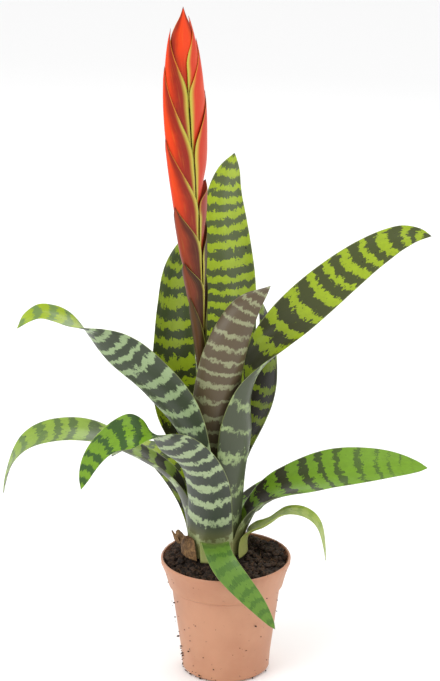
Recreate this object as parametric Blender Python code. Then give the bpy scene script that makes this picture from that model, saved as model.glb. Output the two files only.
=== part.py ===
"""Potted bromeliad: banded strap leaves and a sword-shaped flower spike in a nursery pot.

Frame: origin at the centre of the pot's underside, +Z up, -Y to the front, +X to the right as
seen from the front. Lengths below are in millimetres and angles in degrees.
"""

import math

import bmesh
import bpy
import numpy as np

MM = 0.001

# Pot: (radius, height) round the whole wall section, from the middle of the underside outwards
POT_SEGMENTS = 40
POT_OUTSIDE = [
    (14.0, 0.0), (20.0, 0.0), (28.4, 0.0), (30.2, 1.6), (31.0, 12.0), (33.4, 30.0), (36.9, 56.0),
    (37.6, 61.5), (39.6, 63.0), (42.3, 73.0), (44.6, 79.6), (45.0, 81.4), (44.4, 82.5),
]
POT_INSIDE = [
    (43.5, 82.2), (43.2, 80.2), (40.9, 73.0), (38.2, 63.8), (36.3, 60.4), (35.5, 56.0),
    (32.0, 30.0), (29.6, 12.0), (28.9, 2.6), (20.0, 1.9), (14.0, 1.9),
]
DRAIN_HOLES = 8
DRAIN_HOLE_WIDTH = 2  # segments of the pot's circle

# Soil: a plug inside the pot with a lumpy top
SOIL_SEGMENTS = 32
SOIL_SIDE = [(28.2, 3.0), (29.2, 12.0), (31.6, 30.0), (35.0, 55.0), (35.8, 60.8), (37.8, 64.2), (40.4, 73.0)]
SOIL_RINGS = [41.6, 37.0, 32.0, 26.0, 18.0, 9.0]
SOIL_TOP = 78.6
SOIL_CROWN = 83.2
SOIL_LUMP = 1.5

# Rosette: every leaf base is an arc about this axis, on one of the nested layers
CROWN_X, CROWN_Y = -7.0, 4.0
LEAF_FOOT = 85.2
SHEATH_HEIGHT = 30.0
LAYER_FIRST = 8.6
LAYER_PITCH = 2.2
SHEATH_FLARE = 1.18
LEAF_THICKNESS = 1.1
LEAF_STATIONS = 19
LEAF_HALF_POINTS = (-1.0, -0.72, -0.38, 0.0, 0.38, 0.72, 1.0)

# Leaves: layer, azimuth of the base, sheath width, blade width, length over which the one opens
# into the other, squareness of the tip, colour, then the midrib above the sheath as
# (x, y, z, roll, half-angle of the trough)
BANDED = (62, 72, 38)
FRESH = (112, 140, 48)
PALE = (150, 165, 60)
LEAVES = {
    "leaf_heart": (0, -80, 21, 42, 110, 4.0, BANDED, [
        (-4, -9, 150, 0, 60), (-5, -12, 178, 0, 58), (-4, -16, 208, 0, 56), (1, -16, 236, -4, 52),
        (9, -12, 258, -10, 46), (19, -5, 271, -14, 40), (30, 4, 276, -16, 30)]),
    "leaf_back_tall": (1, 70, 17, 39, 120, 8.0, BANDED, [
        (-3, 23, 145, 0, 48), (0, 30, 173, 0, 42), (4, 37, 213, 0, 34), (5, 50, 252, 0, 28),
        (2, 64, 290, 0, 24), (0, 75, 322, 0, 22), (6, 83, 348, 0, 16)]),
    "leaf_back_left": (0, 138, 17, 42, 130, 5.0, BANDED, [
        (-19, 19, 145, -12, 46), (-35, 23, 180, -14, 40), (-39, 30, 222, -8, 36), (-39, 42, 254, 0, 34),
        (-35, 52, 280, 0, 30), (-26, 60, 296, 0, 22)]),
    "leaf_right_upright": (2, 27, 18, 34, 110, 5.0, BANDED, [
        (12, 16, 150, 0, 42), (27, 30, 182, 0, 36), (32, 46, 214, 0, 34), (28, 58, 236, 0, 28),
        (23, 66, 249, 0, 20)]),
    "leaf_left_long": (2, 212, 20, 34, 80, 4.0, BANDED, [
        (-22, -13, 150, 0, 46), (-26, -18, 175, 12, 40), (-35, -22, 199, 34, 34), (-52, -28, 223, 46, 30),
        (-71, -34, 243, 48, 24), (-89, -38, 257, 10, 16), (-106, -41, 267, -28, 18),
        (-123, -44, 272, -30, 18), (-136, -47, 262, -20, 12)]),
    "leaf_right_long": (3, -40, 21, 37, 90, 5.0, BANDED, [
        (9, -13, 150, 0, 48), (12, -11, 180, 0, 44), (20, 2, 212, 45, 38), (43, 20, 243, 88, 32),
        (76, 38, 270, 92, 28), (109, 56, 289, 88, 24), (128, 66, 294, 80, 20), (143, 73, 291, 70, 12)]),
    "leaf_left_low": (4, 185, 28, 34, 60, 4.0, BANDED, [
        (-36, 0, 136, 0, 40), (-66, -2, 160, 0, 32), (-91, 0, 171, -10, 26), (-116, 2, 172, -15, 22),
        (-138, 4, 162, -10, 20), (-148, 5, 146, 0, 16), (-153, 6, 126, 0, 12)]),
    "leaf_right_low": (4, -5, 28, 34, 60, 4.0, FRESH, [
        (28, 6, 122, 10, 40), (48, 14, 130, 28, 32), (71, 22, 136, 42, 28), (97, 30, 137, 45, 24),
        (120, 37, 135, 40, 20), (142, 42, 131, 30, 12)]),
    "leaf_rear": (4, 90, 28, 36, 80, 5.0, BANDED, [
        (-9, 42, 140, 0, 34), (-11, 66, 168, 0, 28), (-12, 96, 184, 0, 24),
        (-13, 126, 182, 0, 20), (-14, 150, 162, 0, 14)]),
    "leaf_front_fold": (5, -105, 38, 34, 50, 3.0, FRESH, [
        (-13, -31, 140, 0, 38), (-20, -43, 165, 0, 30), (-36, -54, 185, 0, 16),
        (-56, -60, 196, -45, 14), (-74, -64, 193, -48, 16), (-87, -66, 180, -35, 18),
        (-95, -68, 158, -20, 12)]),
    "leaf_rear_left": (5, 128, 24, 31, 60, 4.0, BANDED, [
        (-30, 34, 120, 0, 36), (-48, 52, 135, 0, 28), (-66, 68, 137, 0, 24), (-82, 80, 125, 0, 14)]),
    "leaf_rear_right": (5, 40, 24, 30, 60, 4.0, BANDED, [
        (14, 30, 103, 0, 34), (32, 48, 110, 0, 28), (54, 66, 113, 0, 22), (76, 82, 112, 0, 18),
        (94, 94, 106, 0, 12)]),
    "leaf_right_small": (6, -15, 22, 18, 40, 3.0, PALE, [
        (28, -4, 107, 0, 34), (40, -3, 115, 0, 26), (52, -2, 115, 0, 22), (62, -1, 108, 0, 20),
        (67, 0, 95, 0, 16), (69, 1, 78, 0, 10)]),
    "leaf_front_hanging": (7, -92, 20, 20, 40, 3.0, FRESH, [
        (-5, -38, 99, 0, 34), (1, -47, 92, 0, 26), (11, -53, 82, 0, 22), (22, -57, 70, 0, 20),
        (33, -59, 54, 0, 12)]),
}

# Dry leaf base at the left foot
DRY_SHEATH = (7, 207, 26, 15, 30, 1.4, (150, 112, 72), [
    (-33, -9, 96, 0, 34), (-35, -10, 101, 0, 28), (-37, -11, 106, 0, 18)])

# Flower spike: (height, x, y, half-width, half-depth, turn of its flat side to the plant's left)
SPIKE_LINE = [
    (84.8, -7.0, 4.0, 5.2, 5.2, 60), (150.0, -11.0, 2.0, 4.8, 4.8, 60), (200.0, -14.2, 1.0, 5.0, 4.8, 60),
    (240.0, -17.0, 0.5, 6.2, 5.4, 60), (275.0, -19.4, 0.0, 10.2, 6.8, 60), (306.0, -22.0, 0.0, 14.0, 7.4, 58),
    (334.0, -23.6, 0.0, 16.6, 7.4, 54), (370.0, -25.5, 0.0, 17.0, 7.0, 42), (402.0, -27.0, 0.0, 16.0, 6.0, 34),
    (427.0, -28.0, 0.0, 12.8, 5.4, 30), (448.0, -28.6, 0.0, 8.2, 4.0, 28), (464.5, -29.0, 0.0, 2.6, 2.6, 28),
]
STALK_RADIUS = 0.5  # of the stack's half-depth
BRACT_STEP = 0.85  # outward, from one bract to the next one enclosing it on the same side
BRACT_THICKNESS = 0.5
BRACT_REACH = 88.0  # from the keel to the margin, where the two sides meet
TOP_BRACT_INSET = 0.65  # the topmost bract lies inside the last pair
BRACT_STATIONS = 10
BRACT_HALF_POINTS = (-1.0, -0.7, -0.35, 0.0, 0.35, 0.7, 1.0)

# Bracts: foot, height where the margins of a pair meet, tip; the sides alternate, left first
STALK_BRACTS = [(98, 128, 172), (120, 150, 196), (146, 178, 224), (170, 204, 250), (200, 232, 272), (228, 252, 288)]
SWORD_BRACTS = [
    (246, 277, 296), (262, 300, 321), (270, 306, 335), (290, 334, 347), (298, 334, 380), (324, 370, 408),
    (328, 370, 427), (360, 408, 443), (364, 411, 451), (398, 430, 458), (404, 446, 464.5),
]
STALK_COLOUR = (104, 96, 44)
SWORD_COLOUR = (214, 62, 28)


def material(name, rgb, roughness):
    """One surface with its own colour, given as 8-bit sRGB."""
    surface = bpy.data.materials.new(name)
    surface.use_nodes = True
    shader = surface.node_tree.nodes["Principled BSDF"]
    linear = [(c / 255.0) ** 2.2 for c in rgb]
    shader.inputs["Base Color"].default_value = (*linear, 1.0)
    shader.inputs["Roughness"].default_value = roughness
    shader.inputs["Metallic"].default_value = 0.0
    return surface


def add_object(name, points, faces, rgb, roughness):
    """A closed body from points in millimetres."""
    mesh = bpy.data.meshes.new(name)
    mesh.from_pydata([tuple(c * MM for c in p) for p in points], [], faces)
    work = bmesh.new()
    work.from_mesh(mesh)
    bmesh.ops.recalc_face_normals(work, faces=work.faces)
    bmesh.ops.triangulate(work, faces=work.faces)
    if work.calc_volume(signed=True) < 0.0:
        bmesh.ops.reverse_faces(work, faces=work.faces)
    work.to_mesh(mesh)
    work.free()
    mesh.materials.append(material(name, rgb, roughness))
    body = bpy.data.objects.new(name, mesh)
    bpy.context.scene.collection.objects.link(body)
    return body


def spline(knots, values, samples):
    """Natural cubic spline through the rows of values."""
    knots = np.asarray(knots, float)
    values = np.asarray(values, float)
    step = np.diff(knots)
    count = len(knots)
    matrix = np.eye(count)
    right = np.zeros_like(values)
    for i in range(1, count - 1):
        matrix[i, i - 1:i + 2] = (step[i - 1], 2.0 * (step[i - 1] + step[i]), step[i])
        right[i] = 6.0 * ((values[i + 1] - values[i]) / step[i] - (values[i] - values[i - 1]) / step[i - 1])
    bend = np.linalg.solve(matrix, right)
    out = []
    for t in samples:
        i = int(min(max(np.searchsorted(knots, t) - 1, 0), count - 2))
        a = knots[i + 1] - t
        b = t - knots[i]
        h = step[i]
        out.append(
            (bend[i] * a ** 3 + bend[i + 1] * b ** 3) / (6.0 * h)
            + (values[i] / h - bend[i] * h / 6.0) * a
            + (values[i + 1] / h - bend[i + 1] * h / 6.0) * b
        )
    return np.array(out)


def ring_faces(ring_count, ring_size):
    """Quads between rings that follow one another in the point list."""
    faces = []
    for i in range(ring_count - 1):
        for j in range(ring_size):
            k = (j + 1) % ring_size
            faces.append((i * ring_size + j, i * ring_size + k, (i + 1) * ring_size + k, (i + 1) * ring_size + j))
    return faces


def strap(rows, tip):
    """A thin curved strap: each row is (outer points, inner points) sharing both margins."""
    points = []
    for outer, inner in rows:
        points.extend(outer)
        points.extend(reversed(inner[1:-1]))
    across = len(rows[0][0])
    size = 2 * across - 2
    faces = ring_faces(len(rows), size)
    faces.append((0, 1, size - 1))
    for j in range(1, across - 2):
        faces.append((j, j + 1, size - j - 1, size - j))
    faces.append((across - 2, across - 1, across))
    last = (len(rows) - 1) * size
    points.append(tip)
    for j in range(size):
        faces.append((last + j, last + (j + 1) % size, len(points) - 1))
    return points, faces


def leaf(name, layer, azimuth, sheath, blade, opening, squareness, rgb, midrib):
    """One leaf: a clasping sheath about the crown that opens into an arching blade."""
    angle = math.radians(azimuth)
    out = np.array([math.cos(angle), math.sin(angle), 0.0])
    side = np.array([-math.sin(angle), math.cos(angle), 0.0])
    crown = np.array([CROWN_X, CROWN_Y, 0.0])
    radius = LAYER_FIRST + layer * LAYER_PITCH
    knots = []
    for height, flare in ((0.0, 1.0), (0.5, 0.5 + 0.5 * SHEATH_FLARE)):
        place = crown + out * radius * flare + np.array([0.0, 0.0, LEAF_FOOT + height * SHEATH_HEIGHT])
        knots.append([*place, 0.0, math.degrees(0.5 * sheath / (radius * flare))])
    knots.extend(midrib)
    knots = np.array(knots, float)
    chord = np.linalg.norm(np.diff(knots[:, :3], axis=0), axis=1)
    along = np.concatenate([[0.0], np.cumsum(chord)])
    length = along[-1]
    share = np.linspace(0.0, 1.0, LEAF_STATIONS + 1)
    share = share + 0.10 * np.sin(math.pi * share)
    centre = spline(along, knots, share * length)
    ahead = spline(along, knots, np.minimum(share * length + 0.5, length))
    behind = spline(along, knots, np.maximum(share * length - 0.5, 0.0))
    rows = []
    for i in range(LEAF_STATIONS):
        tangent = (ahead - behind)[i, :3]
        tangent = tangent / np.linalg.norm(tangent)
        across = side - tangent * np.dot(side, tangent)
        across = across / np.linalg.norm(across)
        upper = np.cross(tangent, across)
        roll = math.radians(centre[i, 3])
        lateral = across * math.cos(roll) + upper * math.sin(roll)
        normal = upper * math.cos(roll) - across * math.sin(roll)
        rise = min(1.0, share[i] * length / opening)
        half = 0.5 * (sheath + (blade - sheath) * rise * rise * (3.0 - 2.0 * rise))
        half *= (1.0 - share[i] ** squareness) ** 0.75
        trough = math.radians(max(centre[i, 4], 4.0))
        bend = half / trough
        outer = []
        inner = []
        for u in LEAF_HALF_POINTS:
            turn = u * trough
            inward = normal * math.cos(turn) - lateral * math.sin(turn)
            middle = centre[i, :3] + lateral * bend * math.sin(turn) + normal * bend * (1.0 - math.cos(turn))
            thick = 0.5 * LEAF_THICKNESS * math.sqrt(1.0 - u * u) * min(1.0, half / 7.0)
            outer.append(middle - inward * thick)
            inner.append(middle + inward * thick)
        rows.append((outer, inner))
    points, faces = strap(rows, centre[-1, :3])
    return add_object(name, points, faces, rgb, 0.42)


def spike_section(height):
    """Centre, half-width, half-depth and turn of the stack of bracts at a height."""
    line = np.array(SPIKE_LINE)
    row = spline(line[:, 0], line[:, 1:], [height])[0]
    return np.array([row[0], row[1], height]), max(row[2], 0.6), max(row[3], 0.6), math.radians(row[4])


def bract(name, side, feet, rank, meet, tip, rgb):
    """One folded bract: it clasps the stalk at its foot and ends in a point on its keel.

    Side -1 has its keel to the left, 1 to the right and 0 on the flat side, for the topmost one.
    """
    foot = feet[rank]
    ranks = np.arange(len(feet) + 3)
    marks = np.concatenate([feet, feet[-1] + 30.0 * np.arange(1, 4)])
    share = np.linspace(0.0, 1.0, BRACT_STATIONS + 1)
    rows = []
    for s in share:
        height = foot + (tip - foot) * s
        centre, wide, deep, turn = spike_section(height)
        keelward = (side or 1) * np.array([math.cos(turn), math.sin(turn), 0.0])
        if side == 0:
            keelward = np.array([math.sin(turn), -math.cos(turn), 0.0])
        flat = np.array([-keelward[1], keelward[0], 0.0])
        climb = (np.interp(height, marks, ranks) - rank) * BRACT_STEP
        if side == 0:
            climb -= TOP_BRACT_INSET
        stalk = deep * STALK_RADIUS + 0.6
        open_up = min(1.0, (height - foot) / (0.8 * (meet - foot)))
        keel = stalk + max(wide - 1.6 - stalk, 0.0) * open_up ** 0.8 + climb
        depth = stalk + max(deep - 1.6 - stalk, 0.0) * open_up + climb
        if side == 0:
            keel, depth = depth, keel
        reach = BRACT_REACH
        if height > meet:
            reach *= 1.0 - ((height - meet) / (tip - meet)) ** 1.2
        if s == 1.0:
            break
        reach = math.radians(reach)
        outer = []
        inner = []
        for u in BRACT_HALF_POINTS:
            t = u * reach
            thick = BRACT_THICKNESS * 0.5 * math.sqrt(1.0 - u * u)
            for row, shift in ((outer, thick), (inner, -thick)):
                x = (keel + shift) * math.cos(t)
                y = (depth + shift) * math.sin(t)
                row.append(centre + keelward * x + flat * y)
        rows.append((outer, inner))
    points, faces = strap(rows, centre + keelward * keel)
    return add_object(name, points, faces, rgb, 0.38)


def scape():
    """The stalk inside the bracts."""
    points = []
    heights = [84.8, 120, 160, 200, 240, 280, 320, 360, 400]
    sides = 10
    for height in heights:
        centre, wide, deep, turn = spike_section(height)
        radius = deep * STALK_RADIUS
        for j in range(sides):
            a = 2.0 * math.pi * j / sides
            points.append(centre + np.array([radius * math.cos(a), radius * math.sin(a), 0.0]))
    faces = ring_faces(len(heights), sides)
    faces.append(tuple(range(sides)))
    faces.append(tuple(range(len(points) - sides, len(points))))
    return add_object("scape", points, faces, (120, 118, 52), 0.5)


def pot():
    """The pot's wall turned about its axis, with drainage holes through the floor."""
    section = POT_OUTSIDE + POT_INSIDE
    points = []
    for radius, height in section:
        for j in range(POT_SEGMENTS):
            a = 2.0 * math.pi * j / POT_SEGMENTS
            points.append((radius * math.cos(a), radius * math.sin(a), height))
    under, over = 0, len(section) - 2
    spacing = POT_SEGMENTS // DRAIN_HOLES
    holes = {h * spacing + k for h in range(DRAIN_HOLES) for k in range(DRAIN_HOLE_WIDTH)}
    faces = []
    for i in range(len(section) - 1):
        for j in range(POT_SEGMENTS):
            if i in (under, over) and j in holes:
                continue
            k = (j + 1) % POT_SEGMENTS
            faces.append((i * POT_SEGMENTS + j, i * POT_SEGMENTS + k, (i + 1) * POT_SEGMENTS + k, (i + 1) * POT_SEGMENTS + j))
    low_in, low_out = 0, POT_SEGMENTS
    high_out, high_in = over * POT_SEGMENTS, (over + 1) * POT_SEGMENTS
    for j in holes:
        k = (j + 1) % POT_SEGMENTS
        faces.append((low_in + j, low_in + k, high_in + k, high_in + j))
        faces.append((low_out + j, low_out + k, high_out + k, high_out + j))
        for edge, neighbour in ((j, (j - 1) % POT_SEGMENTS), (k, k)):
            if neighbour not in holes:
                faces.append((low_in + edge, low_out + edge, high_out + edge, high_in + edge))
    faces.append(tuple(range(POT_SEGMENTS)))
    faces.append(tuple(range(len(points) - POT_SEGMENTS, len(points))))
    return add_object("pot", points, faces, (190, 132, 102), 0.55)


def soil():
    """The peat plug: flat below, lumpy on top and heaped a little round the crown."""
    points = []
    for radius, height in SOIL_SIDE:
        for j in range(SOIL_SEGMENTS):
            a = 2.0 * math.pi * j / SOIL_SEGMENTS
            points.append((radius * math.cos(a), radius * math.sin(a), height))
    for i, radius in enumerate(SOIL_RINGS):
        heap = 1.0 - min(1.0, max(0.0, (radius - 18.0) / 20.0))
        for j in range(SOIL_SEGMENTS):
            a = 2.0 * math.pi * j / SOIL_SEGMENTS
            lump = SOIL_LUMP * math.sin(5.0 * a + 1.7 * i) * math.cos(3.0 * a - 0.9 * i) * (1.0 - heap)
            height = SOIL_TOP + (SOIL_CROWN - SOIL_TOP) * heap + lump
            share = 1.0 if i == 0 else 0.35 + 0.65 * radius / SOIL_RINGS[0]
            x = radius * math.cos(a) + CROWN_X * (1.0 - share)
            y = radius * math.sin(a) + CROWN_Y * (1.0 - share)
            points.append((x, y, height))
    faces = ring_faces(len(SOIL_SIDE) + len(SOIL_RINGS), SOIL_SEGMENTS)
    faces.append(tuple(range(SOIL_SEGMENTS)))
    faces.append(tuple(range(len(points) - SOIL_SEGMENTS, len(points))))
    return add_object("soil", points, faces, (46, 34, 26), 0.9)


def build():
    for old in list(bpy.data.objects):
        bpy.data.objects.remove(old, do_unlink=True)
    pot()
    soil()
    scape()
    for name, shape in LEAVES.items():
        leaf(name, *shape)
    leaf("dry_sheath", *DRY_SHEATH)
    bracts = [("scape_bract_%d", i + 1, STALK_COLOUR, *b) for i, b in enumerate(STALK_BRACTS)]
    bracts += [("bract_%02d", i + 1, SWORD_COLOUR, *b) for i, b in enumerate(SWORD_BRACTS)]
    feet = [[b[3] for b in bracts[k::2]] for k in (0, 1)]
    for i, (pattern, number, rgb, foot, meet, tip) in enumerate(bracts):
        side = 0 if i == len(bracts) - 1 else 2 * (i % 2) - 1
        bract(pattern % number, side, feet[i % 2], i // 2, meet, tip, rgb)


build()
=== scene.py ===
"""Potted bromeliad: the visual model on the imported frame.

Every leaf and bract is rebuilt finely from its own CAD node, so the frame stays the one source of
shape. Lengths are in metres.
"""

import math
import random

import bmesh
import bpy
import numpy as np
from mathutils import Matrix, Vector, noise


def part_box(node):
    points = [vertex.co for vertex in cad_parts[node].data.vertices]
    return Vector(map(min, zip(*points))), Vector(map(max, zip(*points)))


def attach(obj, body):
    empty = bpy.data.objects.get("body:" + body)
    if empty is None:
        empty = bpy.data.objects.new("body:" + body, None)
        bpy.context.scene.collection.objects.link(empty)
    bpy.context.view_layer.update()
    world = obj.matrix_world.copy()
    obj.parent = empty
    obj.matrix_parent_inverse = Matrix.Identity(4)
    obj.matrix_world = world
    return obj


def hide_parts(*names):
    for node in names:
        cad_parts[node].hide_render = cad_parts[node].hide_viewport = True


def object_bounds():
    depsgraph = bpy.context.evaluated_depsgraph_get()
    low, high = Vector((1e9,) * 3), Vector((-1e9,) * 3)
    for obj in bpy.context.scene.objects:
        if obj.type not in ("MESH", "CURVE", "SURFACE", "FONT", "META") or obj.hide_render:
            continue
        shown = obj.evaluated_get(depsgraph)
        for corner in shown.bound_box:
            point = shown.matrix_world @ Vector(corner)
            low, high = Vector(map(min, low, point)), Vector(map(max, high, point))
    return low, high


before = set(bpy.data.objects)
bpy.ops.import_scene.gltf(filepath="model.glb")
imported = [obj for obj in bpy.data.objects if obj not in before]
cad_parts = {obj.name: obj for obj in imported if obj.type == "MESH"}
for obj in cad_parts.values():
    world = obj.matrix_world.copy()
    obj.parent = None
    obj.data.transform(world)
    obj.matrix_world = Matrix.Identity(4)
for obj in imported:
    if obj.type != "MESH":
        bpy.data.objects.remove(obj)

random.seed(7)
START_LOW, START_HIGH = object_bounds()
MM = 0.001
FULL_TURN = 2.0 * math.pi


# ---------------------------------------------------------------- reading the frame

WELD_STEPS = 1e6  # steps to the metre: points in the same step are one
RING = 12  # vertices round a CAD strap
ACROSS = RING // 2 + 1  # of them from margin to margin on one side

# Where the columns of a CAD strap lie, from one margin at -1 to the other at 1
CAD_COLUMNS = {
    "leaf": np.array([-1.0, -0.72, -0.38, 0.0, 0.38, 0.72, 1.0]),
    "bract": np.array([-1.0, -0.7, -0.35, 0.0, 0.35, 0.7, 1.0]),
}

scape_low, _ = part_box("scape")
foot_ring = [v.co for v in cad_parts["scape"].data.vertices if v.co.z < scape_low.z + MM]
CROWN = np.array([sum(c.x for c in foot_ring), sum(c.y for c in foot_ring)]) / len(foot_ring)


def welded(node):
    """Points and triangles of a CAD node, with coincident vertices made one."""
    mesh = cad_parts[node].data
    index = {}
    points = []
    place = []
    for v in mesh.vertices:
        key = tuple(round(c * WELD_STEPS) for c in v.co)
        if key not in index:
            index[key] = len(points)
            points.append(np.array(v.co))
        place.append(index[key])
    faces = []
    for p in mesh.polygons:
        ids = [place[i] for i in p.vertices]
        for k in range(1, len(ids) - 1):
            tri = (ids[0], ids[k], ids[k + 1])
            if len(set(tri)) == 3:
                faces.append(tri)
    return np.array(points), faces


def cycle(links):
    """The vertices of a closed loop in order."""
    start = min(links)
    path = [start]
    last = None
    while True:
        ahead = [v for v in links[path[-1]] if v != last]
        last = path[-1]
        if not ahead or ahead[0] == start or len(path) > 4 * RING:
            return path
        path.append(ahead[0])


def steps_from_tip(count, faces):
    """How many edges each vertex is from the tip, where the most edges meet, and the tip itself."""
    near = {i: set() for i in range(count)}
    for tri in faces:
        for a in tri:
            near[a].update(b for b in tri if b != a)
    tip = max(near, key=lambda v: len(near[v]))
    level = {tip: 0}
    front = [tip]
    while front:
        ahead = []
        for a in front:
            for b in near[a]:
                if b not in level:
                    level[b] = level[a] + 1
                    ahead.append(b)
        front = ahead
    return level, tip


def margins_first(base):
    """The base ring turned to start at a margin, with its first half on the outer side."""
    half = RING // 2
    widest = max(range(half), key=lambda j: np.linalg.norm(base[j] - base[j + half]))
    base = np.roll(base, -widest, axis=0)
    first = np.linalg.norm(base[half // 2][:2] - CROWN)
    second = np.linalg.norm(base[half + half // 2][:2] - CROWN)
    if first < second:
        base = np.roll(base, -half, axis=0)
    return base


def strap_rows(node):
    """Rows of a strap from base to tip: (rows of outer points, rows of inner points, tip)."""
    points, faces = welded(node)
    level, tip = steps_from_tip(len(points), faces)
    rings = []
    for k in range(1, max(level.values()) + 1):
        links = {}
        for tri in faces:
            same = [v for v in tri if level[v] == k]
            if len(same) == 2 and any(level[v] == k - 1 for v in tri):
                links.setdefault(same[0], []).append(same[1])
                links.setdefault(same[1], []).append(same[0])
        order = cycle(links)
        if len(order) != RING:
            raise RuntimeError(f"{node}: ring {k} has {len(order)} vertices")
        rings.append(points[order])
    rings.reverse()
    done = [margins_first(rings[0])]
    for ring in rings[1:]:
        options = []
        for turned in (ring, ring[::-1]):
            options.extend(np.roll(turned, -j, axis=0) for j in range(RING))
        done.append(min(options, key=lambda r: float(((r - done[-1]) ** 2).sum())))
    half = RING // 2
    outer = np.array([r[:half + 1] for r in done])
    inner = np.array([np.concatenate([r[:1], r[:half - 1:-1]]) for r in done])
    return outer, inner, points[tip]


def resample(values, knots, samples):
    """Smooth curve through the rows of values (Catmull-Rom on uneven knots)."""
    knots = np.asarray(knots, float)
    flat = values.reshape(len(knots), -1)
    slope = np.gradient(flat, knots, axis=0)
    spot = np.clip(np.searchsorted(knots, samples, side="right") - 1, 0, len(knots) - 2)
    h = (knots[spot + 1] - knots[spot])[:, None]
    t = (samples - knots[spot])[:, None] / h
    a, b = flat[spot], flat[spot + 1]
    m, n = slope[spot] * h, slope[spot + 1] * h
    out = (2 * t**3 - 3 * t**2 + 1) * a + (t**3 - 2 * t**2 + t) * m
    out = out + (3 * t**2 - 2 * t**3) * b + (t**3 - t**2) * n
    return out.reshape((len(samples),) + values.shape[1:])


# ---------------------------------------------------------------- fine meshes

TIP_CROWDING = 0.06  # how far the stations of a strap close up towards its tip
MARGIN_CROWDING = 1.15  # how far its columns close up towards its margins
MARGIN_BODY = 0.16  # thickness at the margin, as a share of that on the midrib
POINT_BODY = 0.25  # thickness where the strap has no width, as a share of the full one
BODY_WIDTH = 16.0 * MM  # that share grows by the strap's width over this, up to the full thickness
RIPPLE_SCALE = (42.0, 0.7)  # noise of the wavy margins, along and across
RIPPLE_GROWTH = 5.0  # the ripple is full one fifth of the way up
SWELL_SCALE = (30.0, 2.0)  # noise of the gentle swellings, along and across
SWELL_SHARE = 0.35  # their height, as a share of the ripple's
SWELL_SEED = 9.0


def new_mesh(name, verts, faces):
    """A smooth mesh object with its faces turned outwards."""
    mesh = bpy.data.meshes.new(name)
    mesh.from_pydata([tuple(v) for v in verts], [], [tuple(f) for f in faces])
    work = bmesh.new()
    work.from_mesh(mesh)
    bmesh.ops.recalc_face_normals(work, faces=work.faces)
    if work.calc_volume(signed=True) < 0.0:
        bmesh.ops.reverse_faces(work, faces=work.faces)
    work.to_mesh(mesh)
    work.free()
    mesh.shade_smooth()
    obj = bpy.data.objects.new(name, mesh)
    bpy.context.scene.collection.objects.link(obj)
    return obj


def strap_grid(node, family, stations, columns):
    """Middle surface of a strap, with what a point on it needs.

    Gives the points, the normals towards the inner side, the shares along, the places across, the
    length and the tip.
    """
    outer, inner, tip = strap_rows(node)
    middle = 0.5 * (outer + inner)
    middle = np.concatenate([middle, np.repeat(tip[None, None, :], ACROSS, axis=1)])
    rib = middle[:, ACROSS // 2]
    along = np.concatenate([[0.0], np.cumsum(np.linalg.norm(np.diff(rib, axis=0), axis=1))])
    length = along[-1]
    share = np.linspace(0.0, 1.0, stations + 1)
    share = share + TIP_CROWDING * np.sin(math.pi * share)
    u = np.linspace(-1.0, 1.0, columns)
    u = np.sign(u) * (1.0 - (1.0 - np.abs(u)) ** MARGIN_CROWDING)
    grid = resample(middle, along, share * length)
    grid = resample(grid.transpose(1, 0, 2).copy(), CAD_COLUMNS[family], u).transpose(1, 0, 2)
    normal = np.cross(np.gradient(grid, axis=0), np.gradient(grid, axis=1))
    normal = normal / np.maximum(np.linalg.norm(normal, axis=2, keepdims=True), 1e-12)
    facing = resample(inner - outer, along[:-1], np.minimum(share * length, along[-2]))
    sense = np.sign((facing[:, ACROSS // 2] * normal[:, columns // 2]).sum(axis=1))
    if np.median(sense) < 0:
        normal = -normal
    return grid, normal, share, u, length, tip


def strap_faces(stations, columns):
    """Faces of a strap: rings of quads, a strip across the base and a fan to the tip."""
    ring = 2 * columns - 2
    faces = []
    for i in range(stations - 1):
        for j in range(ring):
            k = (j + 1) % ring
            faces.append((i * ring + j, i * ring + k, (i + 1) * ring + k, (i + 1) * ring + j))
    faces.append((0, 1, ring - 1))
    for j in range(1, columns - 2):
        faces.append((j, j + 1, ring - j - 1, ring - j))
    faces.append((columns - 2, columns - 1, columns))
    top = (stations - 1) * ring
    for j in range(ring):
        faces.append((top + j, top + (j + 1) % ring, top + ring))
    return faces


def fine_strap(name, node, family, stations, columns, thick, wave, seed):
    """A leaf or bract as one closed fine mesh, carrying where each point lies on it."""
    grid, normal, share, u, length, tip = strap_grid(node, family, stations, columns)
    width = np.linalg.norm(grid[:, -1] - grid[:, 0], axis=1)
    verts, marks = [], []
    for i in range(stations):
        along = share[i] * length
        for side, order in ((0.0, range(columns)), (1.0, range(columns - 2, 0, -1))):
            for j in order:
                at_margin = j in (0, columns - 1)
                edge = abs(u[j])
                arch = math.sqrt(max(0.0, 1.0 - edge**2))
                body = thick * (MARGIN_BODY + (1.0 - MARGIN_BODY) * arch)
                body *= min(1.0, POINT_BODY + width[i] / BODY_WIDTH)
                lift = 0.0 if at_margin else (side - 0.5) * body
                spot = Vector((along * RIPPLE_SCALE[0], u[j] * RIPPLE_SCALE[1], seed))
                ripple = wave * edge**3 * noise.noise(spot) * min(1.0, share[i] * RIPPLE_GROWTH)
                spot = Vector((along * SWELL_SCALE[0], u[j] * SWELL_SCALE[1], seed + SWELL_SEED))
                swell = SWELL_SHARE * wave * noise.noise(spot)
                verts.append(grid[i, j] + normal[i, j] * (lift + ripple + swell))
                marks.append((along, u[j], 0.5 if at_margin else side, share[i]))
    verts.append(tip)
    marks.append((length, 0.0, 0.5, 1.0))
    obj = new_mesh(name, verts, strap_faces(stations, columns))
    for k, label in enumerate(("along", "across", "side", "share")):
        layer = obj.data.attributes.new(label, "FLOAT", "POINT")
        layer.data.foreach_set("value", [m[k] for m in marks])
    return obj


# ---------------------------------------------------------------- material tools

def srgb(r, g, b):
    """A colour given in display values from 0 to 255."""
    return tuple((c / 255.0) ** 2.2 for c in (r, g, b)) + (1.0,)


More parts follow.
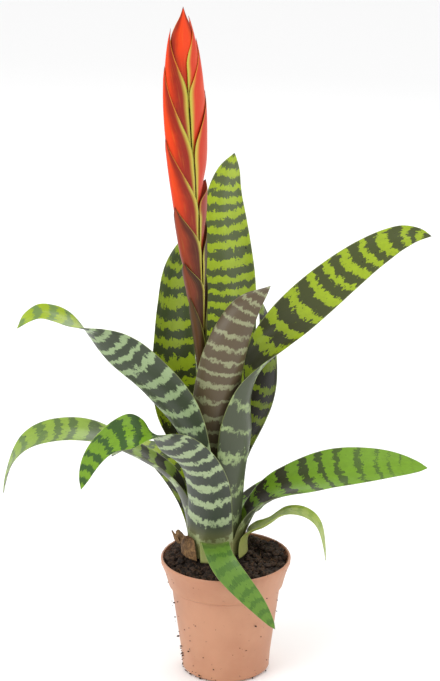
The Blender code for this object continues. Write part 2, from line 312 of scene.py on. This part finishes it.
def scaled(colour, factor):
    """The colour made darker or lighter."""
    return tuple(c * factor for c in colour[:3]) + (1.0,)


def between(near, far, share):
    """A colour part of the way from one to another."""
    return tuple(a + (b - a) * share for a, b in zip(near, far))


class Tree:
    """Small helper to write a material's nodes as expressions."""

    def __init__(self, name):
        self.material = bpy.data.materials.new(name)
        self.material.use_nodes = True
        self.nodes = self.material.node_tree.nodes
        self.links = self.material.node_tree.links
        self.shader = self.nodes["Principled BSDF"]

    def put(self, socket, value):
        """Links a node's output to the socket, or sets a constant on it."""
        if isinstance(value, bpy.types.NodeSocket):
            self.links.new(value, socket)
        else:
            socket.default_value = value

    def math(self, kind, a, b=0.0):
        """One math node."""
        node = self.nodes.new("ShaderNodeMath")
        node.operation = kind
        self.put(node.inputs[0], a)
        self.put(node.inputs[1], b)
        return node.outputs[0]

    def times(self, a, b):
        """Product."""
        return self.math("MULTIPLY", a, b)

    def plus(self, a, b):
        """Sum."""
        return self.math("ADD", a, b)

    def swing(self, value, reach):
        """A noise made to swing to either side of 0."""
        return self.times(self.math("SUBTRACT", value, 0.5), reach)

    def mark(self, label):
        """A value that the mesh carries at each point."""
        node = self.nodes.new("ShaderNodeAttribute")
        node.attribute_name = label
        return node.outputs["Fac"]

    def vector(self, x, y, z=0.0):
        """A vector from three values."""
        node = self.nodes.new("ShaderNodeCombineXYZ")
        for socket, value in zip(node.inputs, (x, y, z)):
            self.put(socket, value)
        return node.outputs[0]

    def noise(self, vector, scale, detail=3.0, rough=0.55):
        """Noise from about 0 to 1."""
        node = self.nodes.new("ShaderNodeTexNoise")
        self.put(node.inputs["Vector"], vector)
        node.inputs["Scale"].default_value = scale
        node.inputs["Detail"].default_value = detail
        node.inputs["Roughness"].default_value = rough
        return node.outputs["Fac"]

    def place(self):
        """Place on the object, in metres."""
        return self.nodes.new("ShaderNodeTexCoord").outputs["Object"]

    def ramp(self, value, low, high):
        """A smooth step from 0 at low to 1 at high."""
        node = self.nodes.new("ShaderNodeMapRange")
        node.interpolation_type = "SMOOTHSTEP"
        self.put(node.inputs["Value"], value)
        self.put(node.inputs["From Min"], low)
        self.put(node.inputs["From Max"], high)
        return node.outputs["Result"]

    def mix(self, share, a, b):
        """Colour a turned to colour b by a share."""
        node = self.nodes.new("ShaderNodeMix")
        node.data_type = "RGBA"
        self.put(node.inputs[0], share)
        self.put(node.inputs[6], a)
        self.put(node.inputs[7], b)
        return node.outputs[2]

    def bump(self, height, strength, distance):
        """Fine relief on the surface."""
        node = self.nodes.new("ShaderNodeBump")
        node.inputs["Strength"].default_value = strength
        node.inputs["Distance"].default_value = distance
        self.put(node.inputs["Height"], height)
        self.put(self.shader.inputs["Normal"], node.outputs["Normal"])

    def gloss(self, specular, coat, coat_roughness):
        """The constants of a waxy surface, on the shader's own sockets."""
        self.shader.inputs["Specular IOR Level"].default_value = specular
        self.shader.inputs["Coat Weight"].default_value = coat
        self.shader.inputs["Coat Roughness"].default_value = coat_roughness

    def done(self, colour, roughness):
        """The finished material."""
        self.put(self.shader.inputs["Base Color"], colour)
        self.put(self.shader.inputs["Roughness"], roughness)
        return self.material


# ---------------------------------------------------------------- materials

DARK = srgb(40, 36, 18)
LIME = srgb(156, 180, 30)
GRASS = srgb(116, 158, 30)
GREY = srgb(68, 72, 58)
MINT = srgb(160, 180, 124)
LEAF_DOT = srgb(24, 22, 12)
LEAF_RIM = srgb(170, 182, 110)
LEAF_FOOT = srgb(150, 150, 92)
BRACT_TIP = srgb(74, 40, 38)
LEAF_SCALE = 0.018  # metres that a leaf's half width counts as in its noises
BRACT_SCALE = 0.012  # the same for the veins of a bract


def band_wave(t, marks, noises, seed, pitch, dark_low, dark_tip):
    """The wave of a leaf's cross bands: dark where it is above 0."""
    along, across, share = marks
    blot, jag, patch = noises
    drift = t.noise(t.vector(along, t.times(across, 0.004), seed + 3.0), scale=22.0, detail=1.0)
    closing = t.plus(0.82, t.times(share, 0.42))
    phase = t.math("DIVIDE", t.times(along, closing), pitch)
    phase = t.plus(phase, t.times(drift, 1.6))
    phase = t.plus(phase, t.swing(jag, 0.55))
    phase = t.plus(phase, t.swing(blot, 0.9))
    bow = t.times(t.math("POWER", t.math("ABSOLUTE", across), 2.0), 0.22)
    phase = t.math("SUBTRACT", phase, bow)
    wave = t.math("SINE", t.times(phase, FULL_TURN))
    wave = t.plus(wave, t.plus(dark_low, t.times(share, dark_tip - dark_low)))
    return t.plus(wave, t.swing(patch, 1.5))


def leaf_material(name, seed, pitch, dark_low, dark_tip, dark=DARK, light=LIME,
                  under_dark=GREY, under_light=MINT, tint=None, fleck=1.0):
    """Cross-banded leaf.

    pitch is the distance between bands; dark_low and dark_tip say how far the dark bands outweigh the
    light ones at the base and the tip; tint is what the dark turns to towards the tip; fleck is how
    much more broken the bands are there.
    """
    t = Tree(name)
    along, across, side, share = (t.mark(m) for m in ("along", "across", "side", "share"))
    sideways = t.times(across, LEAF_SCALE)
    flat = t.vector(along, sideways, seed)
    jag = t.noise(t.vector(t.times(along, 0.35), sideways, seed + 5.0), scale=520.0, detail=4.0, rough=0.7)
    speck = t.noise(flat, scale=900.0, rough=0.7)
    blot = t.noise(flat, scale=190.0, rough=0.6)
    patch = t.noise(flat, scale=75.0, detail=2.0)
    veins = t.noise(t.vector(t.times(along, 0.03), sideways, seed), scale=1500.0, detail=2.0)
    wave = band_wave(t, (along, across, share), (blot, jag, patch), seed, pitch, dark_low, dark_tip)

    flecked = t.plus(wave, t.swing(speck, t.plus(1.1, t.times(share, fleck))))
    light_here = t.mix(t.times(blot, 0.8), light, scaled(light, 0.55))
    dark_here = t.mix(t.ramp(veins, 0.35, 0.75), dark, scaled(dark, 1.5))
    if tint:
        dark_here = t.mix(t.ramp(share, 0.25, 0.85), dark_here, tint)
    top = t.mix(t.ramp(flecked, -0.14, 0.16), light_here, dark_here)
    dots = t.ramp(t.noise(flat, scale=420.0, detail=1.0), 0.735, 0.76)
    top = t.mix(dots, top, LEAF_DOT)

    blurred = t.ramp(t.plus(wave, t.plus(0.30, t.times(speck, 0.3))), -0.35, 0.35)
    pale = t.mix(t.times(speck, 0.9), under_light, scaled(under_light, 0.6))
    below = t.mix(blurred, pale, under_dark)

    colour = t.mix(t.ramp(side, 0.4, 0.6), below, top)
    rim = t.ramp(t.math("ABSOLUTE", across), 0.955, 1.0)
    colour = t.mix(t.times(rim, 0.55), colour, LEAF_RIM)
    foot = t.ramp(along, 30.0 * MM, 4.0 * MM)
    colour = t.mix(t.times(foot, 0.75), colour, LEAF_FOOT)
    t.bump(veins, strength=0.25, distance=0.4 * MM)
    t.gloss(specular=0.32, coat=0.10, coat_roughness=0.22)
    return t.done(colour, t.plus(0.36, t.times(veins, 0.14)))


def bract_material(name, seed, flank, edge, deep, low):
    """Bract: flank colour with deeper, clouded sides, bright margins, and low where the margins meet."""
    t = Tree(name)
    along, across, share = (t.mark(m) for m in ("along", "across", "share"))
    out = t.math("ABSOLUTE", across)
    cloud = t.noise(t.vector(along, t.times(across, 0.02), seed), scale=60.0)
    grain = t.vector(t.times(along, 0.04), t.times(across, BRACT_SCALE), seed)
    veins = t.noise(grain, scale=1500.0, detail=2.0)
    shade = t.plus(out, t.swing(cloud, 0.5))
    colour = t.mix(t.ramp(shade, 0.22, 0.72), flank, deep)
    colour = t.mix(t.times(t.ramp(share, 0.60, 0.25), 0.6), colour, deep)
    colour = t.mix(t.times(t.ramp(out, 0.90, 0.99), 0.95), colour, edge)
    valley = t.times(t.ramp(out, 0.80, 0.98), t.ramp(share, 0.74, 0.58))
    colour = t.mix(valley, colour, low)
    colour = t.mix(t.times(t.ramp(veins, 0.5, 0.8), 0.18), colour, edge)
    tip = t.ramp(share, 0.955, 0.995)
    colour = t.mix(t.times(tip, 0.8), colour, BRACT_TIP)
    t.bump(veins, strength=0.2, distance=0.3 * MM)
    t.gloss(specular=0.22, coat=0.06, coat_roughness=0.25)
    return t.done(colour, 0.42)


def pot_material():
    """Moulded terracotta-coloured plastic with a little dust."""
    t = Tree("pot_plastic")
    place = t.place()
    cloud = t.noise(place, scale=26.0, detail=4.0)
    fine = t.noise(place, scale=900.0)
    colour = t.mix(t.ramp(cloud, 0.35, 0.7), srgb(186, 134, 104), srgb(174, 121, 92))
    dust = t.ramp(t.noise(place, scale=330.0, detail=4.0, rough=0.7), 0.655, 0.70)
    colour = t.mix(t.times(dust, 0.55), colour, srgb(120, 82, 62))
    t.bump(fine, strength=0.12, distance=0.3 * MM)
    t.shader.inputs["Subsurface Weight"].default_value = 0.05
    t.shader.inputs["Subsurface Scale"].default_value = 3.0 * MM
    return t.done(colour, 0.47)


def earth_material(name, low, high, roughness=0.92):
    """Peat, bark, dry leaf or stalk: two tones and a rough surface."""
    t = Tree(name)
    place = t.place()
    tone = t.noise(place, scale=420.0, detail=5.0, rough=0.7)
    colour = t.mix(t.ramp(tone, 0.35, 0.72), low, high)
    t.bump(t.noise(place, scale=1500.0, detail=4.0), strength=0.6, distance=0.6 * MM)
    return t.done(colour, roughness)


# ---------------------------------------------------------------- rosette

# The leaves' looks, as leaf_material takes them
LOOKS = {
    "leaf_heart": {
        "pitch": 13.5 * MM, "dark_low": 0.10, "dark_tip": 0.25,
        "under_dark": srgb(88, 76, 58), "under_light": srgb(150, 152, 116),
    },
    "leaf_back_tall": {
        "pitch": 15.0 * MM, "dark_low": 0.25, "dark_tip": 0.05, "tint": srgb(74, 86, 44), "fleck": 2.2,
    },
    "leaf_back_left": {
        "pitch": 20.0 * MM, "dark_low": 0.10, "dark_tip": 0.10, "tint": srgb(60, 74, 32), "fleck": 1.2,
    },
    "leaf_right_upright": {"pitch": 19.0 * MM, "dark_low": 0.55, "dark_tip": 0.10},
    "leaf_left_long": {
        "pitch": 16.5 * MM, "dark_low": 0.45, "dark_tip": -0.30, "tint": srgb(104, 130, 66),
        "under_dark": srgb(62, 70, 54), "under_light": srgb(158, 180, 132),
    },
    "leaf_right_long": {
        "pitch": 22.5 * MM, "dark_low": 0.48, "dark_tip": 0.15, "tint": srgb(66, 74, 30),
        "under_dark": srgb(70, 76, 58),
    },
    "leaf_left_low": {
        "pitch": 17.0 * MM, "dark_low": 0.55, "dark_tip": -0.55, "tint": srgb(92, 118, 56),
        "light": srgb(140, 170, 60),
    },
    "leaf_right_low": {
        "pitch": 16.5 * MM, "dark_low": 0.55, "dark_tip": -1.15, "tint": srgb(76, 104, 32), "light": GRASS,
    },
    "leaf_rear": {
        "pitch": 18.0 * MM, "dark_low": 0.30, "dark_tip": 0.0, "tint": srgb(70, 84, 34), "fleck": 1.2,
    },
    "leaf_front_fold": {
        "pitch": 15.0 * MM, "dark_low": 0.20, "dark_tip": -0.20, "tint": srgb(52, 84, 28), "light": GRASS,
        "under_dark": srgb(60, 66, 56), "under_light": srgb(166, 184, 140),
    },
    "leaf_rear_left": {
        "pitch": 17.0 * MM, "dark_low": 0.30, "dark_tip": -0.20, "tint": srgb(80, 100, 44),
    },
    "leaf_rear_right": {
        "pitch": 16.0 * MM, "dark_low": 0.20, "dark_tip": -0.50, "tint": srgb(84, 112, 40), "light": GRASS,
    },
    "leaf_right_small": {
        "pitch": 13.0 * MM, "dark_low": -0.2, "dark_tip": -0.6, "fleck": 0.5,
        "dark": srgb(118, 140, 44), "light": srgb(160, 180, 70),
        "under_dark": srgb(138, 156, 62), "under_light": srgb(164, 180, 84),
    },
    "leaf_front_hanging": {
        "pitch": 13.0 * MM, "dark_low": 0.0, "dark_tip": -0.3, "fleck": 0.5,
        "dark": srgb(66, 98, 34), "light": srgb(98, 136, 48),
        "under_dark": srgb(110, 138, 70), "under_light": srgb(140, 166, 90),
    },
}
LEAF_FINE = {"stations": 120, "columns": 27, "thick": 1.0 * MM, "wave": 0.8 * MM}
DRY_FINE = {"stations": 40, "columns": 19, "thick": 0.7 * MM, "wave": 2.2 * MM}

for number, (node, look) in enumerate(LOOKS.items()):
    piece = fine_strap("plant_" + node, node, "leaf", seed=number * 3.7, **LEAF_FINE)
    piece.data.materials.append(leaf_material("skin_" + node, number * 1.3, **look))
    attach(piece, "root")
    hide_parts(node)

dry = fine_strap("plant_dry_sheath", "dry_sheath", "leaf", seed=91.0, **DRY_FINE)
dry.data.materials.append(earth_material("dry_skin", srgb(84, 60, 36), srgb(146, 112, 70), 0.8))
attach(dry, "root")
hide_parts("dry_sheath")


# ---------------------------------------------------------------- flower spike

# Lit and shaded copies of one orange: the pinker, paler colours of the bracts on the right are painted light
# from that side, and the darker deep orange of those on the left is painted shade
ORANGE = srgb(222, 62, 10)
SHADED_ORANGE_DEEP = srgb(140, 34, 12)
LIT_SALMON = srgb(214, 88, 64)
LIT_SALMON_DEEP = srgb(200, 60, 38)
SEAM = srgb(224, 140, 44)
VALLEY = srgb(186, 178, 70)
DULL_FLANK = srgb(112, 52, 32)
DULL_DEEP = srgb(62, 36, 22)
DULL_SEAM = srgb(150, 140, 60)
DULLNESS = (1.0, 1.0, 0.8, 0.6, 0.15, 0.1)  # how brown the lowest bracts of the sword are
STALK_LOOK = {
    "flank": srgb(84, 56, 34),
    "edge": srgb(132, 126, 56),
    "deep": srgb(66, 50, 28),
    "low": srgb(128, 132, 58),
}
SWORD_FINE = {"stations": 56, "columns": 25, "thick": 0.5 * MM, "wave": 0.25 * MM}
STALK_FINE = {"stations": 48, "columns": 21, "thick": 0.5 * MM, "wave": 0.25 * MM}

sword = sorted(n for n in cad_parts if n.startswith("bract_"))
stalk = sorted(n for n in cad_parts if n.startswith("scape_bract_"))
for number, node in enumerate(sword):
    on_right = number % 2 == 1
    # The bracts on the right get the painted-light copy of the orange, those on the left the painted-shade
    # one
    flank, deep = (LIT_SALMON, LIT_SALMON_DEEP) if on_right else (ORANGE, SHADED_ORANGE_DEEP)
    dull = DULLNESS[number] if number < len(DULLNESS) else 0.0
    look = {
        "flank": between(flank, DULL_FLANK, dull),
        "edge": between(SEAM, DULL_SEAM, dull),
        "deep": between(deep, DULL_DEEP, dull),
        "low": VALLEY,
    }
    piece = fine_strap("spike_" + node, node, "bract", seed=40.0 + number, **SWORD_FINE)
    piece.data.materials.append(bract_material("skin_" + node, number * 2.1, **look))
    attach(piece, "root")
    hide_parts(node)
for number, node in enumerate(stalk):
    piece = fine_strap("spike_" + node, node, "bract", seed=60.0 + number, **STALK_FINE)
    piece.data.materials.append(bract_material("skin_" + node, number * 2.1, **STALK_LOOK))
    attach(piece, "root")
    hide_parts(node)

stalk_piece = new_mesh("plant_stalk", *welded("scape"))
stalk_piece.data.materials.append(earth_material("stalk_skin", srgb(150, 140, 52), srgb(190, 178, 80), 0.5))
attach(stalk_piece, "root")
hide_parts("scape")


# ---------------------------------------------------------------- pot

LEVEL_SLACK = 0.01 * MM  # heights that differ by less are level
RADIUS_SLACK = 0.02 * MM  # radii that differ by less are equal
SMALLEST_CIRCLE = 5.0 * MM
LONGEST_CHORD = 0.3  # of a circle's radius
CHORD_SAG = 0.012  # how far inside its circle a chord can lie, as a share of the radius


def on_circle(edge):
    """Whether an edge is a chord of a level circle round the pot's axis."""
    a, b = (v.co for v in edge.verts)
    radius = a.xy.length
    same = abs(a.z - b.z) < LEVEL_SLACK and abs(radius - b.xy.length) < RADIUS_SLACK
    return same and radius > SMALLEST_CIRCLE and edge.calc_length() < LONGEST_CHORD * radius


def rounded_copy(name, node, cuts):
    """The node's mesh with its circles divided finer, new points kept on the circle."""
    obj = new_mesh(name, *welded(node))
    work = bmesh.new()
    work.from_mesh(obj.data)
    bmesh.ops.join_triangles(work, faces=work.faces, angle_face_threshold=0.2, angle_shape_threshold=3.1)
    chords = [edge for edge in work.edges if on_circle(edge)]
    circles = sorted(set(round(edge.verts[0].co.xy.length, 5) for edge in chords))
    before = set(work.verts)
    bmesh.ops.subdivide_edges(work, edges=chords, cuts=cuts, use_grid_fill=True)
    for v in work.verts:
        if v in before:
            continue
        radius = v.co.xy.length
        near = [q for q in circles if 0.0 <= q - radius < CHORD_SAG * q]
        if near:
            v.co.xy *= min(near) / radius
    bmesh.ops.recalc_face_normals(work, faces=work.faces)
    work.to_mesh(obj.data)
    work.free()
    obj.data.shade_smooth()
    obj.data.set_sharp_from_angle(angle=math.radians(32.0))
    return obj


pot = rounded_copy("nursery_pot", "pot", 2)
pot.data.materials.append(pot_material())
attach(pot, "root")
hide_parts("pot")


# ---------------------------------------------------------------- soil

pot_low, pot_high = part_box("pot")
RIM = pot_high.x
INSIDE = RIM * 0.925  # radius of the soil's surface
SOIL_LEVEL = pot_high.z - 4.4 * MM
CROWN_HEAP = (30.0 * MM, 4.2 * MM)  # radius and height of the heap at the crown
BACK_RISE = 2.4 * MM
SOIL_RELIEF = 1.7 * MM
COARSE_SOIL = 160.0  # scales of the noise in the soil's surface
FINE_SOIL = 420.0
COARSE_CRUMB = 1.3 * MM  # larger crumbs get a finer mesh

# Lower levels of the peat plug: share of the surface's radius, height above the pot's foot
PLUG_LEVELS = ((0.86, 60.0 * MM), (0.66, 3.0 * MM))
SOIL_TURNS = 120
SOIL_ROWS = 34


def polar(radius, angle):
    """Level place at a radius and an angle in radians."""
    return radius * math.cos(angle), radius * math.sin(angle)


def soil_height(x, y):
    """Top of the peat: rough, heaped at the crown and rising a little towards the back."""
    heap = max(0.0, 1.0 - math.hypot(x - CROWN[0], y - CROWN[1]) / CROWN_HEAP[0])
    coarse = noise.noise(Vector((x * COARSE_SOIL, y * COARSE_SOIL, 1.0)))
    rough = coarse + 0.5 * noise.noise(Vector((x * FINE_SOIL, y * FINE_SOIL, 4.0)))
    back = max(0.0, y / RIM) * BACK_RISE
    return SOIL_LEVEL + CROWN_HEAP[1] * heap + back + SOIL_RELIEF * rough


def peat_mesh():
    """The peat plug: a rough top in rings, and plain sides that narrow to the pot's foot."""
    verts, faces = [], []
    for i in range(SOIL_ROWS):
        for k in range(SOIL_TURNS):
            x, y = polar(INSIDE * (1.0 - i / SOIL_ROWS), FULL_TURN * k / SOIL_TURNS)
            verts.append(Vector((x, y, soil_height(x, y))))
    verts.append(Vector((0.0, 0.0, soil_height(0.0, 0.0))))
    centre = len(verts) - 1
    for i in range(SOIL_ROWS - 1):
        low, high = i * SOIL_TURNS, (i + 1) * SOIL_TURNS
        for k in range(SOIL_TURNS):
            n = (k + 1) % SOIL_TURNS
            faces.append((low + k, low + n, high + n, high + k))
    last = (SOIL_ROWS - 1) * SOIL_TURNS
    for k in range(SOIL_TURNS):
        faces.append((last + k, last + (k + 1) % SOIL_TURNS, centre))
    middle = len(verts)
    foot = middle + SOIL_TURNS
    for share, height in PLUG_LEVELS:
        for k in range(SOIL_TURNS):
            x, y = polar(INSIDE * share, FULL_TURN * k / SOIL_TURNS)
            verts.append(Vector((x, y, pot_low.z + height)))
    for k in range(SOIL_TURNS):
        n = (k + 1) % SOIL_TURNS
        faces.append((k, n, middle + n, middle + k))
        faces.append((middle + k, middle + n, foot + n, foot + k))
    faces.append(tuple(foot + k for k in range(SOIL_TURNS)))
    return new_mesh("peat", verts, faces)


def crumb(verts, faces, centre, size, seed):
    """Adds one closed lump of earth."""
    work = bmesh.new()
    bmesh.ops.create_icosphere(work, subdivisions=2 if size > COARSE_CRUMB else 1, radius=1.0)
    start = len(verts)
    squash = Vector((random.uniform(0.7, 1.3), random.uniform(0.7, 1.3), random.uniform(0.55, 1.0)))
    for v in work.verts:
        bulge = 1.0 + 0.45 * noise.noise(v.co * 1.7 + Vector((seed, 0.0, 0.0)))
        verts.append(centre + v.co * squash * size * bulge)
    faces.extend([tuple(start + v.index for v in f.verts) for f in work.faces])
    work.free()


def crumbs(name, spots, material):
    """One piece made of many lumps."""
    points, tris = [], []
    for number, (spot, size) in enumerate(spots):
        crumb(points, tris, spot, size, number * 1.9)
    piece = new_mesh(name, points, tris)
    piece.data.materials.append(material)
    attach(piece, "root")
    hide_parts("soil")


def fibre(verts, faces, start, heading, length, radius):
    """Adds one closed thin root or bark fibre."""
    base = len(verts)
    steps, sides = 9, 5
    spot = start.copy()
    for i in range(steps):
        for k in range(sides):
            a = FULL_TURN * k / sides
            ring = Vector((-heading.y, heading.x, 0.0)) * math.cos(a) + Vector((0.0, 0.0, 1.0)) * math.sin(a)
            verts.append(spot + ring * radius * (1.0 - 0.6 * i / steps))
        heading = (heading + Vector([random.uniform(-0.35, 0.35) for _ in range(3)])).normalized()
        heading.z = max(min(heading.z, 0.5), -0.35)
        spot = spot + heading * length / steps
    for i in range(steps - 1):
        low, high = base + i * sides, base + (i + 1) * sides
        for k in range(sides):
            n = (k + 1) % sides
            faces.append((low + k, low + n, high + n, high + k))
    faces.append(tuple(base + k for k in range(sides)))
    faces.append(tuple(base + (steps - 1) * sides + k for k in range(sides)))


def random_place(nearest, farthest):
    """An angle, and a place on the soil spread evenly between two shares of its area."""
    a = random.uniform(0.0, FULL_TURN)
    x, y = polar(INSIDE * math.sqrt(random.uniform(nearest, farthest)), a)
    return a, x, y


soil = peat_mesh()
soil.data.materials.append(earth_material("peat_dark", srgb(30, 22, 17), srgb(66, 50, 38)))
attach(soil, "root")
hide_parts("soil")

CRUMB_COUNT = 620
CRUMB_SIZES = (0.6, 0.8, 1.0, 1.3, 1.8, 2.4)  # millimetres
FIBRE_COUNT = 120

# Heaps of crumbs: share of the radius, angle in degrees, rise in millimetres, number of crumbs
HEAPS = (
    (0.84, 160.0, 5.0, 120),
    (0.88, 178.0, 4.0, 80),
    (0.84, 24.0, 4.6, 150),
    (0.76, 52.0, 3.6, 90),
    (0.70, 100.0, 2.2, 40),
    (0.62, -40.0, 1.2, 26),
    (0.62, -130.0, 1.2, 26),
)

spots = []
for _ in range(CRUMB_COUNT):
    _, x, y = random_place(0.12, 0.97)
    size = random.choice(CRUMB_SIZES) * MM
    spots.append((Vector((x, y, soil_height(x, y) + 0.3 * size)), size))
for share, angle, rise, count in HEAPS:
    for _ in range(count):
        a = math.radians(angle + random.gauss(0.0, 9.0))
        x, y = polar(INSIDE * min(0.97, share + random.gauss(0.0, 0.07)), a)
        size = random.uniform(0.8, 2.3) * MM
        lift = min(abs(random.gauss(0.0, rise)), 0.8 * rise) * MM
        spots.append((Vector((x, y, soil_height(x, y) + lift)), size))
crumbs("peat_crumbs", spots, earth_material("peat_lumps", srgb(26, 19, 15), srgb(84, 62, 46)))

points, tris = [], []
for _ in range(FIBRE_COUNT):
    a, x, y = random_place(0.2, 0.94)
    ahead = math.cos(a + random.uniform(1.0, 2.4))
    aside = math.sin(a + random.uniform(1.0, 2.4))
    start = Vector((x, y, soil_height(x, y) + 0.7 * MM))
    length = random.uniform(4.0, 11.0) * MM
    fibre(points, tris, start, Vector((ahead, aside, 0.15)).normalized(), length, 0.2 * MM)
fibres = new_mesh("peat_fibres", points, tris)
fibres.data.materials.append(earth_material("fibre_brown", srgb(64, 46, 32), srgb(140, 104, 70)))
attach(fibres, "root")
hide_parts("soil")


# ---------------------------------------------------------------- dirt on the pot

POT_HEIGHT = pot_high.z - pot_low.z
WALL_MIDDLE = (0.655, 0.265)  # middle of the wall at the foot, and its growth to the top, in rim radii
DIRT_COUNT = 90
DIRT_SIZES = (0.3, 0.4, 0.5, 0.8)  # millimetres


def outer_wall():
    """Heights, and the pot's outer radius at each, read from its node."""
    outer = {}
    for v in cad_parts["pot"].data.vertices:
        height = round(v.co.z, 5)
        outer[height] = max(outer.get(height, 0.0), v.co.xy.length)
    heights, radii = [], []
    for height, radius in sorted(outer.items()):
        share = (height - pot_low.z) / POT_HEIGHT
        if radius > RIM * (WALL_MIDDLE[0] + WALL_MIDDLE[1] * share):
            heights.append(height)
            radii.append(radius)
    return heights, radii


wall = outer_wall()
spots = []
for _ in range(DIRT_COUNT):
    at_left = random.random() < 0.7
    a = math.radians(random.gauss(198.0, 22.0) if at_left else random.uniform(200.0, 345.0))
    height = pot_low.z + POT_HEIGHT * (random.random() ** 1.6) * 0.92
    x, y = polar(float(np.interp(height, *wall)), a)
    size = random.choice(DIRT_SIZES) * MM
    spots.append((Vector((x, y, max(height, size))), size))
crumbs("dirt_specks", spots, earth_material("dirt", srgb(52, 38, 28), srgb(92, 66, 48)))


# ---------------------------------------------------------------- floor, light and camera

FLOOR_REACH = 6.0
FLOOR_LEVEL = -0.4 * MM
CAMERA_PLACE = (-0.004, -1.5, 0.727)
CAMERA_TILT = 18.03  # degrees down from level
CAMERA_LENS = 124.3  # millimetres, on a sensor 36 mm wide


def softbox(name, place, target, size, power):
    """A soft rectangular light that faces the target."""
    light = bpy.data.lights.new(name, "AREA")
    light.shape = "RECTANGLE"
    light.size, light.size_y = size
    light.energy = power
    obj = bpy.data.objects.new(name, light)
    obj.location = place
    obj.rotation_euler = (Vector(target) - Vector(place)).to_track_quat("-Z", "Y").to_euler()
    bpy.context.scene.collection.objects.link(obj)


corners = [(x * FLOOR_REACH, y * FLOOR_REACH, FLOOR_LEVEL) for x, y in ((-1, -1), (1, -1), (1, 1), (-1, 1))]
floor = new_mesh("studio_floor", corners, [(0, 1, 2, 3)])
paper = Tree("studio_paper")
floor.data.materials.append(paper.done((0.93, 0.93, 0.93, 1.0), 0.9))

world = bpy.data.worlds.new("studio_air")
world.use_nodes = True
air = world.node_tree.nodes["Background"]
air.inputs["Color"].default_value = (1.0, 1.0, 1.0, 1.0)
air.inputs["Strength"].default_value = 1.0
bpy.context.scene.world = world

middle = Vector(START_LOW).lerp(Vector(START_HIGH), 0.5)
softbox("softbox_left", (-1.1, -0.9, 1.2), middle, (0.9, 1.2), 12.0)
softbox("softbox_right", (1.2, -0.7, 0.8), middle, (0.8, 1.2), 4.0)
softbox("softbox_back", (0.3, 1.1, 1.1), middle, (1.2, 0.8), 7.0)

# Plain display colours: the default view greys the greens and turns the reds pink
bpy.context.scene.view_settings.view_transform = "Standard"

eye = bpy.data.cameras.new("studio_camera")
eye.sensor_width = 36.0
eye.lens = CAMERA_LENS
eye.clip_start = 0.05
camera = bpy.data.objects.new("studio_camera", eye)
camera.location = CAMERA_PLACE
camera.rotation_euler = (math.radians(90.0 - CAMERA_TILT), 0.0, 0.0)
bpy.context.scene.collection.objects.link(camera)
bpy.context.scene.camera = camera
